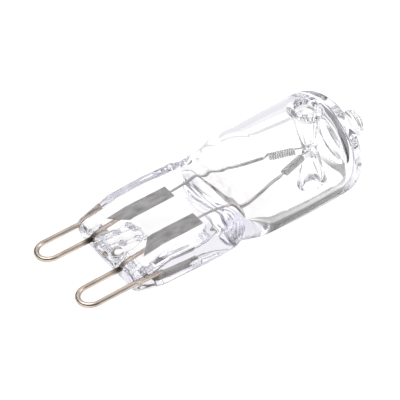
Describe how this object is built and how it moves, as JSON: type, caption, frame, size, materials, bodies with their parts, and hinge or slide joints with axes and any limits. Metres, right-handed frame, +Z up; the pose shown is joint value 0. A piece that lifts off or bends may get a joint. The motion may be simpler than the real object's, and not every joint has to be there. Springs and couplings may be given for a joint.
{
  "type": "halogen capsule bulb",
  "caption": "Clear quartz halogen capsule bulb with a flat pressed base, dented bulb, coiled filament and looped wire pins.",
  "frame": {"origin": "centre of the bounding box, on the table that the bulb lies on", "axes": "+X from the pins towards the exhaust tip, +Y across the pins, +Z up; the bulb lies at rest on one broad side, so its own axis rises about 14.2 degrees towards the exhaust tip"},
  "size_m": [0.0396, 0.0138, 0.0149],
  "materials": {
    "quartz": "clear, fire polished",
    "tungsten": "matt drawn wire",
    "pin_wire": "satin drawn wire",
    "foil": "dull rolled foil"
  },
  "bodies": {
    "root": {"glass_envelope": "quartz", "filament": "tungsten", "lead_wire_near": "tungsten", "lead_wire_far": "tungsten", "foil_near": "foil", "foil_far": "foil", "pin_loop_near": "pin_wire", "pin_loop_far": "pin_wire"}
  },
  "joints": []
}
